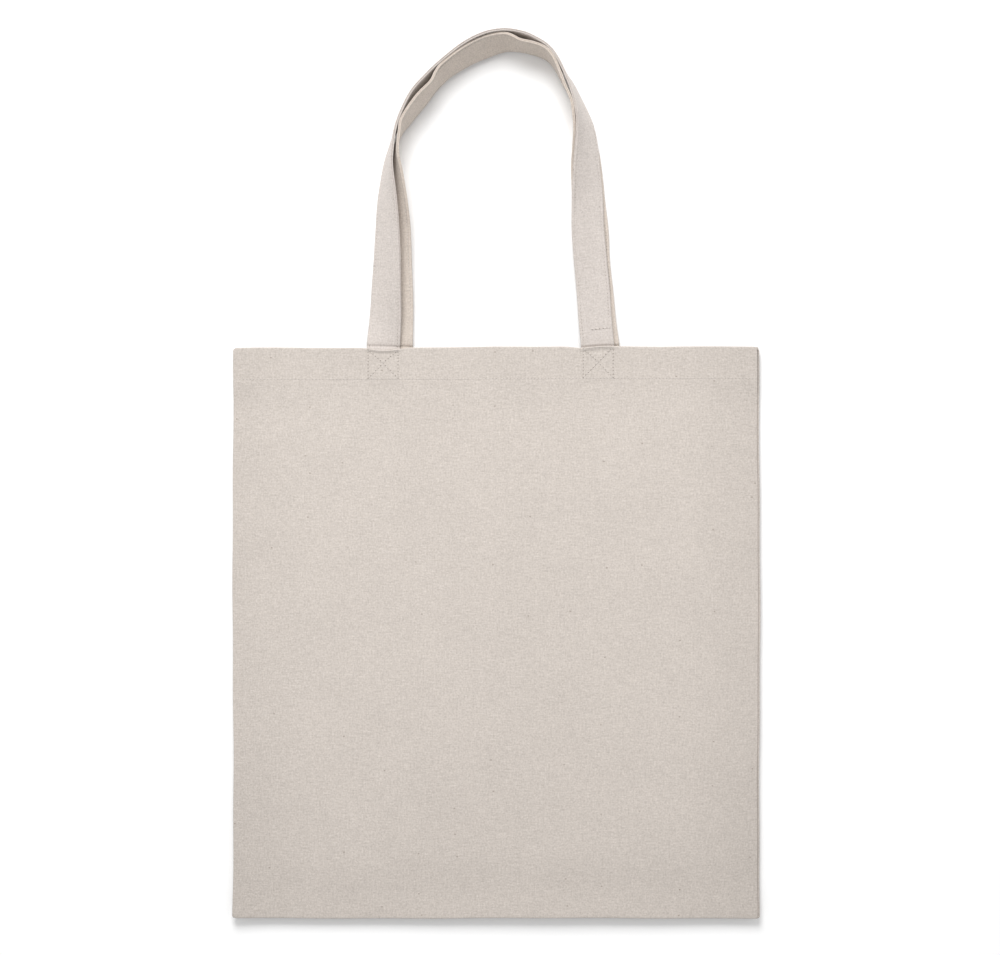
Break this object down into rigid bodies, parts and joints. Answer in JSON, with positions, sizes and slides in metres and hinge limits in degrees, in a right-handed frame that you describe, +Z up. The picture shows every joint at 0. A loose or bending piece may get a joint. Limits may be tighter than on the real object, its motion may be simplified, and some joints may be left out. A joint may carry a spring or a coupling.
{
  "type": "tote bag",
  "caption": "Flat canvas tote bag lying on its back, with a turned-in mouth hem, boxed-cross stitching and long strap handles looped up from the mouth.",
  "frame": {"origin": "middle of the back panel's outer face, on the surface that the bag lies on", "axes": "+X to the right across the bag, +Y from the bottom seam towards the mouth and handles, +Z up through the bag"},
  "size_m": [0.38, 0.6393, 0.0261],
  "materials": {
    "canvas": "plain-weave natural cotton canvas, unbleached, matt, with slubs and small dark seed flecks",
    "strap": "folded strap of the same natural canvas, matt, edge stitched",
    "thread": "natural cotton sewing thread, matt"
  },
  "bodies": {
    "back_side": {"back_panel": "canvas", "back_top_hem": "canvas", "back_hem_thread": "thread", "back_left_tail": "strap", "back_right_tail": "strap", "back_left_cross_stitch": "thread", "back_right_cross_stitch": "thread", "left_side_allowance": "canvas", "right_side_allowance": "canvas", "bottom_allowance": "canvas", "left_side_thread": "thread", "right_side_thread": "thread", "bottom_thread": "thread", "left_overlock": "thread", "right_overlock": "thread", "bottom_overlock": "thread"},
    "front_side": {"front_panel": "canvas", "front_top_hem": "canvas", "front_hem_thread": "thread", "front_left_tail": "strap", "front_right_tail": "strap", "front_left_cross_stitch": "thread", "front_right_cross_stitch": "thread"},
    "front_handle": {"front_handle_strap": "strap", "front_handle_inner_stitch": "thread", "front_handle_outer_stitch": "thread"},
    "back_handle": {"back_handle_strap": "strap", "back_handle_inner_stitch": "thread", "back_handle_outer_stitch": "thread"}
  },
  "joints": [
    {"name": "mouth_open", "type": "hinge", "parent": "back_side", "child": "front_side", "pos_m": [0, -0.206, 0.0021], "axis": [1, 0, 0], "range_deg": [0, 8]},
    {"name": "front_handle_swing", "type": "hinge", "parent": "front_side", "child": "front_handle", "pos_m": [0, 0.206, 0.009], "axis": [1, 0, 0], "range_deg": [0, 165]},
    {"name": "back_handle_swing", "type": "hinge", "parent": "back_side", "child": "back_handle", "pos_m": [0, 0.206, 0], "axis": [1, 0, 0], "range_deg": [-165, 0]}
  ]
}
